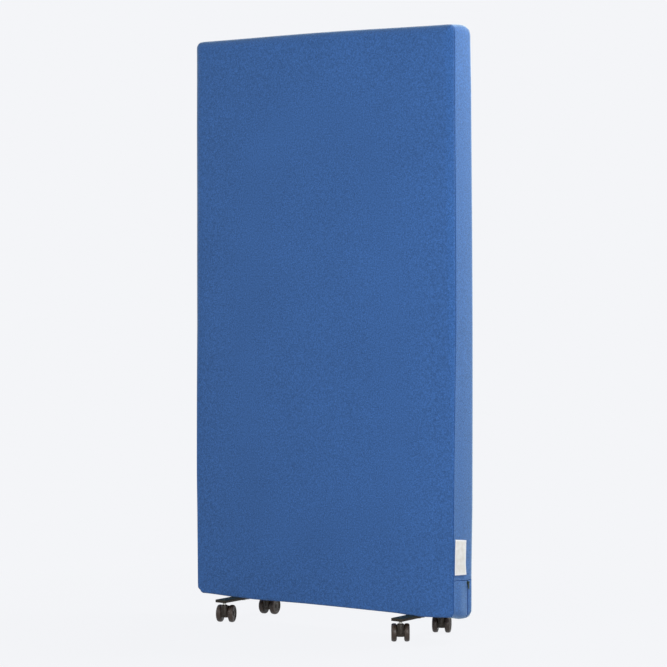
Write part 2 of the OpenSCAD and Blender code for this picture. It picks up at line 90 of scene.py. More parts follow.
# Where each is whole and where it has faded out: from the top, the underside and the cross seam, and out
# from the middle for the top corners and the cross seam
TOP_FADE, HANG_FADE, SEAM_FADE = (0.004, 0.050), (0.010, 0.075), (0, 0.070)
CORNER_FADE, SIDE_FADE = (0.450, 0.405), (0.440, 0.400)

# The outline's stretches, from the middle of the underside round to the right, with the corner that each
# turns about. The lower right corner is filled out, and the lower left one is slack.
straight_x, straight_z = PANEL_W / 2 - CORNER_R, PANEL_H / 2 - CORNER_R
corner_l = math.pi / 2 * CORNER_R
stretches = np.array([straight_x, corner_l, 2 * straight_z, corner_l, 2 * straight_x, corner_l,
                      2 * straight_z, corner_l, straight_x])
stretch_ends = np.cumsum(stretches)
around = stretch_ends[-1]
turning_points = np.array([(0, -1), (1, -1), (1, -1), (1, 1), (1, 1), (-1, 1), (-1, 1), (-1, -1), (-1, -1)])
fullness = np.array([0, 0.08, 0, 0, 0, 0, 0, -0.26, 0])


def outline(s, inset):
    """Points on the bowed outline drawn in by inset, and their outward directions, at distances s along it
    from the middle of the underside, to the right first. Its corners get tighter inward but never cross."""
    s = np.mod(s, around)
    part = np.minimum(np.searchsorted(stretch_ends, s, side="right"), len(stretches) - 1)
    t = s - (stretch_ends[part] - stretches[part])
    rounded = part % 2 == 1
    heading = math.pi / 2 * (part // 2) + np.where(rounded, t / CORNER_R, 0)
    radius = CORNER_R * np.exp(-np.asarray(inset) / CORNER_R)
    half_x, half_z = PANEL_W / 2 - inset - radius, PANEL_H / 2 - inset - radius
    run = np.where(rounded, 0, t) * np.where(part % 4 == 2, half_z / straight_z, half_x / straight_x)
    out_x, out_z = np.sin(heading), -np.cos(heading)
    reach = radius * (1 + fullness[part] * np.sin(np.where(rounded, 2 * t / CORNER_R, 0)) ** 2)
    x = turning_points[part, 0] * half_x + reach * out_x + run * np.cos(heading)
    z = turning_points[part, 1] * half_z + reach * out_z + run * np.sin(heading)
    bow_x = SIDE_BOW * np.cos(math.pi * z / PANEL_H) ** 2
    bow_z = TOP_BOW * np.cos(math.pi * x / PANEL_W) ** 2
    return (x * (1 + 2 * bow_x / PANEL_W), PANEL_ZC + z * np.where(z > 0, 1 + 2 * bow_z / PANEL_H, 1),
            out_x, out_z)


def seam_behind(z):
    return np.interp(z, SEAM_HEIGHTS, SEAM_BEHIND)


def front_r(z):
    """Depth of the front edge's rounding at a height: the seam lies before its end."""
    return np.maximum(LEAST_R, PAST_SEAM * seam_behind(z))


def rear_r(z):
    return np.interp(z, REAR_HEIGHTS, REAR_RADII)


# The front edge bends gently at first and then ever more, as felt does that is pulled round foam, so its
# rounding is a clothoid. The rear edge is a plain arc. Both are r deep.
BEND_STEPS = 200
shares = np.linspace(0, 1, BEND_STEPS + 1)
middles = (shares[1:] + shares[:-1]) / 2
bend_along, bend_down = (np.concatenate([[0], np.cumsum(f(math.pi / 2 * middles ** 2)) / BEND_STEPS])
                         for f in (np.cos, np.sin))
BEND_L = 1 / bend_down[-1]      # its length as a share of r


def edge_length(r, side):
    return r * np.where(side < 0, BEND_L, math.pi / 2)


def edge_shape(c, r, side):
    """How far an edge has turned at a distance c over it, and how far in from the side and back it lies."""
    u = np.clip(c / edge_length(r, side), 0, 1)
    turn = math.pi / 2 * np.where(side < 0, u * u, u)
    inset = np.where(side < 0, BEND_L * (bend_along[-1] - np.interp(u, shares, bend_along)), 1 - np.sin(turn))
    drop = np.where(side < 0, BEND_L * np.interp(u, shares, bend_down), 1 - np.cos(turn))
    return turn, r * inset, r * drop


def front_reach(z):
    """How far over the front edge the seam lies: at the rounding's end, or sooner where it is near the face."""
    share = np.interp(np.clip(seam_behind(z) / front_r(z), 0, 1), bend_down * BEND_L, shares)
    return edge_length(front_r(z), -1) * np.maximum(share, LEAST_SHARE)


def eased(value, full, none):
    """A share of 1 up to full and 0 from none on, with a soft change between."""
    share = np.clip((value - none) / (full - none), 0, 1)
    return share * share * (3 - 2 * share)


def softened(places, values, width):
    """A table of values against places, close together and with its corners rounded off over a width."""
    fine = np.linspace(places[0], places[-1], 401)
    count = int(width / (fine[1] - fine[0])) // 2 * 2 + 1
    kernel = np.hanning(count + 2)[1:-1]
    spread_out = np.pad(np.interp(fine, places, values), count // 2, mode="edge")
    return fine, np.convolve(spread_out, kernel / kernel.sum(), "valid")


hang_front, hang_rear = (softened(HANG_X, values, HANG_BLUR) for values in (HANG_FRONT, HANG_REAR))
hang_share, top_rise, top_fall, seam_slope = (softened(DEPTHS, values, DEPTH_BLUR)
                                              for values in (HANG_SHARE, TOP_RISE, TOP_FALL, SEAM_SLOPE))


def drape(points):
    """Lets the cover's lower edge hang, its top rise and its cross seam drop, each fading out up the panel."""
    x, y, z = points[:, 0], points[:, 1], points[:, 2].copy()
    share, rise, fall, slope = (np.interp(y, *table) for table in (hang_share, top_rise, top_fall, seam_slope))
    hang = np.interp(x, *hang_front) * (1 - share) + np.interp(x, *hang_rear) * share
    rise = rise - fall * eased(abs(x), *CORNER_FADE)
    points[:, 2] += MM * (rise * eased(PANEL_Z0 + PANEL_H - z, *TOP_FADE)
                          - hang * eased(z - PANEL_Z0, *HANG_FADE)
                          + slope * eased(abs(z - CROSS_SEAM_Z), *SEAM_FADE) * eased(abs(x), *SIDE_FADE))
    return points


def surface(s, c, r, side, depth=0.0):
    """Points at distances s round the outline and c over the edge, from where the face ends. The face is
    at side * HALF_T and its edge is rounded by r. Depth is how far they lie under the surface."""
    turn, inset, drop = edge_shape(c, r, side)
    past = np.maximum(c - edge_length(r, side), 0)
    y = side * (HALF_T - drop - past - depth * np.cos(turn))
    x, z, _, _ = outline(s, inset + depth * np.sin(turn))
    return np.stack([x, y + 0 * x, z], axis=-1)


def grid_faces(rows, columns, closed=False, flip=False):
    """Quads over rows of points, each row closed into a ring if asked."""
    faces = []
    for i in range(rows - 1):
        for j in range(columns if closed else columns - 1):
            a, b = i * columns + j, i * columns + (j + 1) % columns
            quad = (a, b, b + columns, a + columns)
            faces.append(quad[::-1] if flip else quad)
    return faces


def finished(name, mesh, finish):
    """A smooth object of a mesh, with its finish."""
    for polygon in mesh.polygons:
        polygon.use_smooth = True
    mesh.materials.append(finish)
    obj = bpy.data.objects.new(name, mesh)
    bpy.context.scene.collection.objects.link(obj)
    return obj


def piece(name, points, faces, finish, values=()):
    """A mesh object through points, riding on the panel. Values are named numbers for each point."""
    mesh = bpy.data.meshes.new(name)
    mesh.from_pydata([tuple(p) for p in points], [], faces)
    mesh.validate()
    for key, numbers in dict(values).items():
        attribute = mesh.attributes.new(key, "FLOAT", "POINT")
        attribute.data.foreach_set("value", np.asarray(numbers, dtype=np.float32))
    obj = finished(name, mesh, finish)
    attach(obj, "root")
    return obj


def thicken(obj, thickness):
    solid = obj.modifiers.new("thickness", "SOLIDIFY")
    solid.thickness, solid.offset = thickness, -1


GRID_X, GRID_Z, CORNER_N = 84, 144, 7       # cells across a face and up it, and in half a corner
ROLL_R = 1.8 * MM       # how far a piece's edge turns in at a seam
HEM = 1.1 * MM          # how far it goes on straight down
EDGE_STEPS = [-HEM, 0, 0.2 * MM, 0.5 * MM, 1.0 * MM, 1.6 * MM, 2.6 * MM]
EDGE_ROWS = 12
UNEVEN, UNEVEN_SCALE = 0.5 * MM, 3.0
INSIDE = 1.0            # a distance from the seam for the points of the face itself


def corner_to_corner(length, cells):
    """Distances along one edge of the outline, from the middle of a corner to that of the next."""
    half = corner_l / 2
    return np.concatenate([np.linspace(0, half, CORNER_N + 1)[:-1],
                           half + np.linspace(0, length, cells - 2 * CORNER_N + 1)[:-1],
                           half + length + np.linspace(0, half, CORNER_N + 1)[:-1]])


first_corner = -straight_x - corner_l / 2
edge_starts = np.cumsum([0, 2 * straight_x + corner_l, 2 * straight_z + corner_l, 2 * straight_x + corner_l])
ring_s = first_corner + np.concatenate([
    start + corner_to_corner(2 * length, cells) for start, length, cells in
    zip(edge_starts, [straight_x, straight_z] * 2, [GRID_X, GRID_Z] * 2)])


def coons(ring):
    """A grid of points inside a ring of boundary points, GRID_Z + 1 rows from the underside up."""
    n, m = GRID_X, GRID_Z
    bottom, right = ring[0:n + 1], ring[n:n + m + 1]
    top = ring[n + m:2 * n + m + 1][::-1]
    left = np.concatenate([ring[2 * n + m:], ring[:1]])[::-1]
    u = np.linspace(0, 1, n + 1)[None, :, None]
    v = np.linspace(0, 1, m + 1)[:, None, None]
    across = (1 - v) * bottom[None] + v * top[None] + (1 - u) * left[:, None] + u * right[:, None]
    corners = ((1 - u) * (1 - v) * bottom[0] + u * (1 - v) * bottom[-1]
               + (1 - u) * v * top[0] + u * v * top[-1])
    return across - corners


def boundary_index():
    """Where the ring's points are in the grid's list of points."""
    n, m = GRID_X, GRID_Z
    return ([i for i in range(n)] + [j * (n + 1) + n for j in range(m)]
            + [m * (n + 1) + n - i for i in range(n)] + [(m - j) * (n + 1) for j in range(m)])


def crown_share(x, z):
    """Rise of a face's crown, from 0 near the edges to 1."""
    u = np.clip(x / (PANEL_W / 2 - CROWN_IN), -1, 1)
    v = np.clip((z - PANEL_ZC) / (PANEL_H / 2 - CROWN_IN), -1, 1)
    return (1 - np.abs(u) ** 3) * (1 - np.abs(v) ** 5)


PUFF_FRAMES = 20


def puffed(points, faces, held):
    """How the felt moves when the foam presses it out: a cloth simulation without gravity, held at its rim.
    The moves are scaled, so that the furthest is the crown's height."""
    mesh = bpy.data.meshes.new("sheet")
    mesh.from_pydata([tuple(p) for p in points], [], faces)
    sheet = bpy.data.objects.new("sheet", mesh)
    bpy.context.scene.collection.objects.link(sheet)
    sheet.vertex_groups.new(name="held").add(held, 1.0, "REPLACE")
    cloth = sheet.modifiers.new("cloth", "CLOTH")
    cloth.settings.vertex_group_mass = "held"
    cloth.settings.use_pressure = True
    cloth.settings.uniform_pressure_force = 4.0
    cloth.settings.tension_stiffness = cloth.settings.compression_stiffness = 80
    cloth.settings.shear_stiffness = 27
    cloth.settings.bending_stiffness = 5
    cloth.settings.air_damping = 5
    cloth.settings.effector_weights.gravity = 0
    cloth.collision_settings.use_collision = False
    cloth.point_cache.frame_start, cloth.point_cache.frame_end = 1, PUFF_FRAMES
    for frame_number in range(1, PUFF_FRAMES + 1):
        bpy.context.scene.frame_set(frame_number)
    result = sheet.evaluated_get(bpy.context.evaluated_depsgraph_get()).to_mesh()
    moved = np.array([tuple(v.co) for v in result.vertices]) - points
    bpy.data.objects.remove(sheet)
    bpy.context.scene.frame_set(1)
    return moved * CROWN / np.linalg.norm(moved, axis=1).max()


def rolled(distance):
    """Depth of a piece's turned-in edge at a distance from the seam. Under 0 it is the hem, straight down."""
    u = np.clip(1 - np.asarray(distance) / ROLL_R, 0, 1)
    return ROLL_R * (1 - np.sqrt(1 - u * u)) + np.maximum(-np.asarray(distance), 0)


def face_piece(name, side, radii, reach, under, finish, simulated=False):
    """A face with its rounded edge, to a distance reach round the edge, with the rim turned in. Its crown
    comes from the simulation, or from a formula that is close to it."""
    flat = coons(surface(ring_s, 0.0, radii, side, under)).reshape(-1, 3)
    index = boundary_index()
    faces = grid_faces(GRID_Z + 1, GRID_X + 1, flip=side > 0)
    share = crown_share(flat[:, 0], flat[:, 2])
    uneven = share * np.array([UNEVEN * noise.noise(Vector(p) * UNEVEN_SCALE) for p in flat])
    if simulated:
        flat += puffed(flat, faces, index)
    else:
        flat[:, 1] += side * share * CROWN
    flat[:, 1] += side * uneven
    edge = np.array(EDGE_STEPS[::-1])
    rows = [share * (reach - edge[0]) for share in np.linspace(0, 1, EDGE_ROWS + 1)[1:-1]]
    rows += [reach - d for d in edge]
    points = np.concatenate([flat] + [
        surface(ring_s, np.clip(c, 0, reach), radii, side, under + rolled(reach - c)) for c in rows])
    count = len(ring_s)
    from_seam = np.concatenate([np.full(len(flat), INSIDE)] + [np.maximum(reach - c, 0) for c in rows])
    from_seam[index] = reach
    along = np.concatenate([np.zeros(len(flat))] + [ring_s] * len(rows))
    along[index] = ring_s
    for k in range(len(rows)):
        start = len(flat) + k * count
        inner = index if k == 0 else range(start - count, start)
        for j in range(count):
            i = (j + 1) % count
            quad = (inner[i], inner[j], start + j, start + i)
            faces.append(quad[::-1] if side > 0 else quad)
    return piece(name, drape(points), faces, finish, {"from_seam": from_seam, "along": along})


class Wire:
    """One output socket of a material's nodes. Sums and products on it add Math nodes."""

    def __init__(self, tree, socket=None):
        self.tree, self.socket = tree, socket

    def node(self, kind, inputs=(), output=0, **settings):
        """Adds any node with its settings, sets or links its inputs, and gives one of its outputs."""
        made = self.tree.nodes.new(kind)
        for name, value in settings.items():
            setattr(made, name, value)
        for key, value in dict(inputs).items():
            if isinstance(value, Wire):
                self.tree.links.new(value.socket, made.inputs[key])
            else:
                made.inputs[key].default_value = value
        return Wire(self.tree, made.outputs[output])

    def math(self, operation, a, b):
        return self.node("ShaderNodeMath", {0: a, 1: b}, operation=operation)

    def __add__(self, other): return self.math("ADD", self, other)
    def __radd__(self, other): return self.math("ADD", other, self)
    def __sub__(self, other): return self.math("SUBTRACT", self, other)
    def __rsub__(self, other): return self.math("SUBTRACT", other, self)
    def __mul__(self, other): return self.math("MULTIPLY", self, other)
    def __rmul__(self, other): return self.math("MULTIPLY", other, self)
    def __truediv__(self, other): return self.math("DIVIDE", self, other)
    def __rtruediv__(self, other): return self.math("DIVIDE", other, self)


def srgb(r, g, b):
    """A colour written as 0 to 255 on the screen, as the linear colour that nodes take."""
    def linear(v):
        v /= 255
        return v / 12.92 if v <= 0.04045 else ((v + 0.055) / 1.055) ** 2.4
    return (linear(r), linear(g), linear(b), 1)


def material(name, look, constants=()):
    """A Principled material. Look gives its varying inputs, and constants are set on its own sockets."""
    made = bpy.data.materials.new(name)
    made.use_nodes = True
    tree = made.node_tree
    shader = tree.nodes["Principled BSDF"]
    for key, value in dict(constants).items():
        shader.inputs[key].default_value = value
    for key, value in look(Wire(tree)).items():
        tree.links.new(value.socket, shader.inputs[key])
    return made


def spots(wire, size, detail, rough, stretch=(1, 1, 1)):
    """Noise from 0 to 1 whose spots have a size in metres."""
    place = wire.node("ShaderNodeTexCoord", output="Object")
    place = wire.node("ShaderNodeMapping", {"Vector": place, "Scale": stretch})
    return wire.node("ShaderNodeTexNoise", {"Vector": place, "Scale": 1 / size, "Detail": detail,
                                            "Roughness": rough}, output="Fac")


def mixed(wire, share, a, b):
    return wire.node("ShaderNodeMix", {0: share, 6: a, 7: b}, output=2, data_type="RGBA")


def shaded(colour, k):
    return tuple(min(1, c * k) for c in colour[:3]) + (1,)


def bumped(wire, height, distance, strength):
    return wire.node("ShaderNodeBump", {"Height": height, "Distance": distance, "Strength": strength})


FELT = srgb(63, 109, 176)
# Colour of the painted shade in the seams' grooves
PAINTED_SEAM_SHADE = srgb(16, 48, 108)
DARK_TUFT, PALE_TUFT = 0.55, 1.45
CLUMP, FIBRE, DRIFT = 4.0 * MM, 1.0 * MM, 0.18
STITCH = 6.3 * MM
# SEAM_REACH is also how far from the seam the painted shade in its groove reaches
SEAM_REACH = 3.0 * MM       # how far from the seam its stitches draw the felt in
PRESSED = 1.1 * MM          # how far from the seam the felt is pressed flat
NAP = {"Sheen Weight": 1.0, "Sheen Roughness": 0.42, "Sheen Tint": (0.70, 0.91, 0.95, 1),
       "Specular IOR Level": 0.2}


def felt_look(wire):
    """Felted wool: clumps of fibre, single pale and dark fibres, a fuzzy nap, and a pucker at every stitch of a
    seam, with painted shade along the seam's groove that is darkest at each stitch. The points carry how far they
    are from the seam and along it."""
    clumps = spots(wire, CLUMP, 5, 0.72)
    fibres = spots(wire, FIBRE, 4, 0.7)
    drift = spots(wire, DRIFT, 2, 0.5)
    tone = (clumps - 0.5) * 2.6 + (fibres - 0.5) * 2.0 + (drift - 0.5) * 0.2 + 0.5
    base = mixed(wire, tone, shaded(FELT, DARK_TUFT), shaded(FELT, PALE_TUFT))
    from_seam, along = (wire.node("ShaderNodeAttribute", attribute_name=key, output="Fac")
                        for key in ("from_seam", "along"))
    groove = 1 - wire.math("MINIMUM", from_seam / SEAM_REACH, 1.0)
    stitch = wire.math("SINE", along * (2 * math.pi / STITCH), 0.0) * 0.5 + 0.5
    pull = groove * groove * (stitch * 0.5 + 0.5)
    nap = fibres * 0.6 + clumps * 0.8 - pull * 2.4
    # Painted shade: the base colour is darkened towards the seam colour in the groove and at each stitch, where
    # shadow falls
    return {"Base Color": mixed(wire, pull * 0.5, base, PAINTED_SEAM_SHADE), "Roughness": 0.86 + fibres * 0.14,
            "Normal": bumped(wire, nap, 0.45 * MM, 0.55)}


felt_face = material("felt_face", felt_look, NAP)
felt_seam = material("felt_seam", felt_look, {**NAP, "Sheen Weight": 0.0})


def press_seams(obj):
    """Gives a cover piece's turned-in edges the felt without its nap."""
    obj.data.materials.append(felt_seam)
    from_seam = obj.data.attributes["from_seam"].data
    for polygon in obj.data.polygons:
        polygon.material_index = int(max(from_seam[v].value for v in polygon.vertices) < PRESSED)


ring_z = outline(ring_s, 0)[1]
front_radii, rear_radii = front_r(ring_z), rear_r(ring_z)
for name, node, side, radii, reach in (
        ("felt_front", "cover_front", -1, front_radii, front_reach(ring_z)),
        ("felt_back", "cover_back", 1, rear_radii, rear_radii * REAR_TURN)):
    cover = face_piece(name, side, radii, reach, 0.0, felt_face, simulated=True)
    press_seams(cover)
    thicken(cover, FABRIC_T)
    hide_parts(node)


# Cover, strips: one felt strip round both sides and the top, and one round the underside that comes up to a
# cross seam and is parted by the zip. They are sewn between the front and back pieces, with every edge
# turned in.
ZIP_FRONT_Y, BACK_SEAM_Y = (corner.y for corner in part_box("zip_tapes"))
ZIP_MID_Y = (ZIP_FRONT_Y + BACK_SEAM_Y) / 2
ZIP_LIP = 1.3 * MM      # half the slit between the two folded edges over the zip
STRIP_STEP = 12 * MM
STRIP_ROWS = 14
SIDE_SWELL, BOTTOM_SWELL = 0.6 * MM, 2.0 * MM
SWELL_START = 0.030     # how far from a strip's ends it has swelled in full
felt_side = material("felt_side", felt_look, NAP)


def front_seam(z):
    """Where the front seam lies: the distance along the felt behind the middle of the thickness."""
    return -(HALF_T - front_r(z) + edge_length(front_r(z), -1) - front_reach(z))


def rear_seam(z):
    return HALF_T - rear_r(z) + edge_length(rear_r(z), 1) - rear_r(z) * REAR_TURN


def zip_lip(side):
    return lambda z: np.full(len(z), ZIP_MID_Y + side * ZIP_LIP)


def flank(s, t, depth):
    """Points at distances s round the outline and t along the felt behind the middle of the thickness."""
    z = outline(s, 0)[1]
    side = np.where(t < 0, -1, 1)
    r = np.where(t < 0, front_r(z), rear_r(z))
    return surface(s, HALF_T - r + edge_length(r, side) - abs(t), r, side, depth)


def clustered(length, step):
    """Distances from 0 to length, close together at the ends, where the edge is turned in."""
    first, last = EDGE_STEPS[-1], length - EDGE_STEPS[-1]
    count = max(1, round((last - first) / step))
    return np.array(EDGE_STEPS + [first + (last - first) * i / count for i in range(1, count)]
                    + [length - d for d in EDGE_STEPS[::-1]])


def side_distance(z, right=True):
    """Distance round the outline at which a side has the height z above the floor."""
    up = straight_x + corner_l + z - PANEL_ZC + straight_z
    return up if right else around - up


def strip_piece(name, ends, edges, swell, node):
    """A strip between two distances round the outline, and between two edges across it, given by the height."""
    start, end = ends
    along = start + clustered(end - start, STRIP_STEP)
    first, last = (edge(outline(along, 0)[1]) for edge in edges)
    rows, from_seam, run = [], [], []
    for k, s in enumerate(along):
        width = last[k] - first[k]
        offsets = clustered(width, width / STRIP_ROWS)
        from_end = min(s - start, end - s)
        from_side = np.minimum(offsets, width - offsets)
        place = np.clip(offsets, 0, width)
        rise = swell * eased(from_end, SWELL_START, 0) * np.sin(math.pi * place / width) ** 2
        rows.append(flank(np.full(len(offsets), np.clip(s, start, end)), first[k] + place,
                          np.maximum(rolled(from_side), rolled(from_end)) - rise))
        from_seam.append(np.maximum(np.minimum(from_side, from_end), 0))
        run.append(np.where(from_side < from_end, s, offsets))
    made = piece(name, drape(np.concatenate(rows)), grid_faces(len(rows), len(rows[0])), felt_side,
                 {"from_seam": np.concatenate(from_seam), "along": np.concatenate(run)})
    press_seams(made)
    thicken(made, FABRIC_T)
    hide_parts(node)
    return made


over_top = (side_distance(CROSS_SEAM_Z), side_distance(CROSS_SEAM_Z, right=False))
under = (over_top[1] - around, over_top[0])
side_strip = strip_piece("felt_sides", over_top, (front_seam, rear_seam), SIDE_SWELL, "cover_sides")
strip_piece("felt_bottom", under, (front_seam, zip_lip(-1)), BOTTOM_SWELL, "cover_bottom")
strip_piece("felt_bottom_rear", under, (zip_lip(1), rear_seam), SIDE_SWELL, "cover_bottom")


# Foam: a pad on each face, flat against its board and crowned under the felt, and strips along the sides
# and the top. They follow the cover's own surface, just under the felt.
FOAM_UNDER = 4.2 * MM
PAD_PAST = 2 * MM       # how far a pad goes on past its rounded edge
CORE_HALF_W, CORE_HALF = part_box("board_back")[1].xy
SOLID_GAP = 0.2 * MM


def flat_look(low, high, size, rough, depth=0.2 * MM):
    """A plain finish, flecked between two colours. The flecks stand up a little."""
    def look(wire):
        fleck = spots(wire, size, 4, 0.6)
        return {"Base Color": mixed(wire, fleck, low, high), "Roughness": rough + fleck * 0.1,
                "Normal": bumped(wire, fleck, depth, 0.5)}
    return look


foam = material("foam", flat_look(srgb(222, 216, 186), srgb(240, 236, 214), 1.5 * MM, 0.85))


def close_flat(obj, y):
    """Brings the open rim of a face piece to the depth y and closes it flat."""
    shape = bmesh.new()
    shape.from_mesh(obj.data)
    rim = [e for e in shape.edges if e.is_boundary]
    drawn = bmesh.ops.extrude_edge_only(shape, edges=rim)
    for v in [g for g in drawn["geom"] if isinstance(g, bmesh.types.BMVert)]:
        v.co.y = y
    bmesh.ops.holes_fill(shape, edges=[e for e in shape.edges if e.is_boundary], sides=0)
    bmesh.ops.recalc_face_normals(shape, faces=shape.faces[:])
    shape.to_mesh(obj.data)
    shape.free()


for node, side, radii in (("foam_front", -1, front_radii), ("foam_back", 1, rear_radii)):
    pad = face_piece("pad_" + node, side, radii, edge_length(radii, side) + PAD_PAST, FOAM_UNDER, foam)
    close_flat(pad, side * (CORE_HALF + SOLID_GAP))
    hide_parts(node)


def edge_foam(node, start, end):
    """A strip of foam with a square section between the core and the felt, between two distances round."""
    along = np.linspace(start, end, max(2, round((end - start) / STRIP_STEP)))
    half = CORE_HALF - SOLID_GAP
    thick = PANEL_W / 2 - CORE_HALF_W - SOLID_GAP
    rows = []
    for inset, y in ((FOAM_UNDER, -half), (FOAM_UNDER, half), (thick, half), (thick, -half)):
        x, z, _, _ = outline(along, inset)
        rows.append(np.stack([x, np.full(len(along), y), z], axis=-1))
    points = np.stack(rows, axis=1).reshape(-1, 3)
    last = len(points) - 4
    faces = grid_faces(len(along), 4, closed=True) + [(3, 2, 1, 0), (last, last + 1, last + 2, last + 3)]
    made = piece("pad_" + node, points, faces, foam)
    for polygon in made.data.polygons:
        polygon.use_smooth = False
    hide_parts(node)


right_foot_s = straight_x + corner_l
right_top_s = right_foot_s + 2 * straight_z
edge_foam("foam_right", right_foot_s, right_top_s)
edge_foam("foam_top", right_top_s + corner_l, right_top_s + corner_l + 2 * straight_x)
edge_foam("foam_left", around - right_top_s, around - right_foot_s)


# Zip: two woven tapes sewn under the folded felt, and a row of moulded coil teeth on each, all along the
# bottom strip. They take the place of the CAD model's plain strips, and show in the slit between the felts.
TAPE_DEPTH = 2.6 * MM
TAPE_T = 0.35 * MM
TAPE_W = 4.4 * MM
TAPE_STEP = 4 * MM
TOOTH = (1.5 * MM, 2.2 * MM, 0.9 * MM)      # along the zip, across it, and how high
TOOTH_PITCH = 2.5 * MM
TEETH_GAP = 0.2 * MM
STOP_L = 2 * MM
zip_start, zip_end = under


def weave(wire, thread, unevenness):
    """The threads of a plain weave from 0 to 1, drawn as two crossed waves."""
    place = wire.node("ShaderNodeTexCoord", output="Object")
    rows = [wire.node("ShaderNodeTexWave", {"Vector": place, "Scale": math.pi / 10 / thread,
                                            "Distortion": unevenness, "Detail": 1.0},
                      output="Fac", bands_direction=d) for d in "YZ"]
    return rows[0] * 0.5 + rows[1] * 0.5


def tape_look(wire):
    threads = weave(wire, 0.6 * MM, 0.6)
    fleck = spots(wire, 4 * MM, 3, 0.6)
    return {"Base Color": mixed(wire, threads * 0.6 + fleck * 0.4, srgb(28, 72, 156), srgb(44, 96, 186)),
            "Roughness": 0.7 + fleck * 0.2, "Normal": bumped(wire, threads, 0.12 * MM, 0.6)}


tape_cloth = material("zip_tape", tape_look)
teeth_nylon = material("zip_teeth", flat_look(srgb(24, 60, 136), srgb(36, 84, 164), 2 * MM, 0.4, 0.05 * MM))

for name, y0 in (("zip_tape_front", ZIP_FRONT_Y), ("zip_tape_back", BACK_SEAM_Y - TAPE_W)):
    rows = []
    for s in np.linspace(zip_start, zip_end, round((zip_end - zip_start) / TAPE_STEP)):
        x, z, _, _ = outline(np.full(3, s), TAPE_DEPTH)
        rows.append(np.stack([x, y0 + np.linspace(0, TAPE_W, 3), z], axis=-1))
    tape = piece(name, drape(np.concatenate(rows)), grid_faces(len(rows), 3), tape_cloth)
    thicken(tape, TAPE_T)
    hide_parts("zip_tapes")

tooth = bmesh.new()
bmesh.ops.create_cube(tooth, size=1.0)
bmesh.ops.scale(tooth, vec=TOOTH, verts=tooth.verts)
bmesh.ops.bevel(tooth, geom=tooth.edges[:], offset=0.3 * MM, segments=2, profile=0.5, affect="EDGES",
                material=-1)
tooth.verts.index_update()
tooth_points = np.array([v.co for v in tooth.verts])
tooth_faces = [[v.index for v in f.verts] for f in tooth.faces]
tooth.free()
for name, sign in (("zip_teeth_front", -1), ("zip_teeth_back", 1)):
    y = ZIP_MID_Y + sign * (TEETH_GAP + TOOTH[1]) / 2
    points, faces = [], []
    for k in range(int((zip_end - zip_start - 2 * STOP_L) / TOOTH_PITCH)):
        s = zip_start + STOP_L + TOOTH_PITCH * (k + 0.5 + 0.25 * sign)
        x, z, out_x, out_z = (v[0] for v in outline(np.array([s]), TAPE_DEPTH - TOOTH[2] / 2))
        a, b, c = tooth_points.T
        points.append(np.stack([x - a * out_z + c * out_x, y + b, z + a * out_x + c * out_z], axis=-1))
        faces += [[i + k * len(tooth_points) for i in f] for f in tooth_faces]
    row = piece(name, drape(np.concatenate(points)), faces, teeth_nylon)
    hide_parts("zip_teeth")


# Label: a woven cloth label sewn to the side above the cross seam. It is blank, sits a little askew and
# lifts along its lower edge.
LABEL_LOW = np.array([(-44.8, 187.7), (7.4, 184.4)])    # its front and back corners, across and up, in mm
LABEL_TOP = np.array([(-41.1, 284.7), (10.8, 278.4)])
LABEL_FLAT = (0.052, 0.096)
LABEL_T = 0.4 * MM
LABEL_LIFT, LABEL_WAVE, LABEL_CLEAR = 3.0 * MM, 0.35 * MM, 0.25 * MM
LABEL_CELLS = (28, 48)
SELVEDGE = 1.5 * MM


def label_look(wire):
    """Satin weave with a closer, brighter selvedge round it."""
    uv = wire.node("ShaderNodeUVMap", uv_map="cloth")
    across, up_it = (wire.node("ShaderNodeSeparateXYZ", {0: uv}, output=o) for o in "XY")
    border = wire.math("MINIMUM", wire.math("MINIMUM", across, 1 - across) * LABEL_FLAT[0],
                       wire.math("MINIMUM", up_it, 1 - up_it) * LABEL_FLAT[1])
    inside = wire.math("MINIMUM", wire.math("MAXIMUM", border / SELVEDGE - 2.4, 0.0), 1.0)
    threads = weave(wire, 1.1 * MM, 0.8)
    fleck = spots(wire, 14 * MM, 2, 0.5)
    cloth = mixed(wire, (fleck - 0.5) * 2.0 + threads * 0.4 + 0.3, srgb(234, 232, 224), srgb(254, 254, 252))
    return {"Base Color": mixed(wire, inside, srgb(252, 253, 253), cloth), "Roughness": 0.55 + threads * 0.2,
            "Normal": bumped(wire, threads, 0.1 * MM, 0.5)}


points, spread = [], []
for j in range(LABEL_CELLS[1] + 1):
    for i in range(LABEL_CELLS[0] + 1):
        u, v = i / LABEL_CELLS[0], j / LABEL_CELLS[1]
        y, z = MM * ((1 - v) * ((1 - u) * LABEL_LOW[0] + u * LABEL_LOW[1])
                     + v * ((1 - u) * LABEL_TOP[0] + u * LABEL_TOP[1]))
        lift = LABEL_LIFT * (1 - v) ** 6 * (0.2 + 0.8 * u ** 1.5)
        wave = LABEL_WAVE * (1 + noise.noise(Vector((3 * u, 4 * v, 5.1))))
        felt = outline(np.array([side_distance(z)]), 0.0)[0][0] + SIDE_SWELL
        points.append((felt + LABEL_CLEAR + LABEL_T + lift + wave, y, z))
        spread.append((u, v))
label = piece("woven_label", points, grid_faces(LABEL_CELLS[1] + 1, LABEL_CELLS[0] + 1),
              material("label", label_look))
cloth_map = label.data.uv_layers.new(name="cloth")
for loop in label.data.loops:
    cloth_map.data[loop.index].uv = spread[loop.vertex_index]
thicken(label, LABEL_T)
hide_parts("side_label")


# Feet: flat steel bars with rounded corners, eased edges and a dark powder coat, with a painted greenish sheen on
# the faces that look up, and on them the domed ends of the castors' stems.
FOOT_CORNER = 2.5 * MM
FOOT_EASE = 0.8 * MM
FOOT_SPARE = 2.0 * MM       # how much longer than the CAD model's the bars look in the photo, at each end
FOOT_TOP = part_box("foot_left")[1].z
STEM_END = [(0, 0), (0, 4.6 * MM), (0.5 * MM, 4.4 * MM), (0.9 * MM, 3.2 * MM), (1.1 * MM, 0)]
DULL = {"Specular IOR Level": 0.3}
METAL = {"Metallic": 1.0}


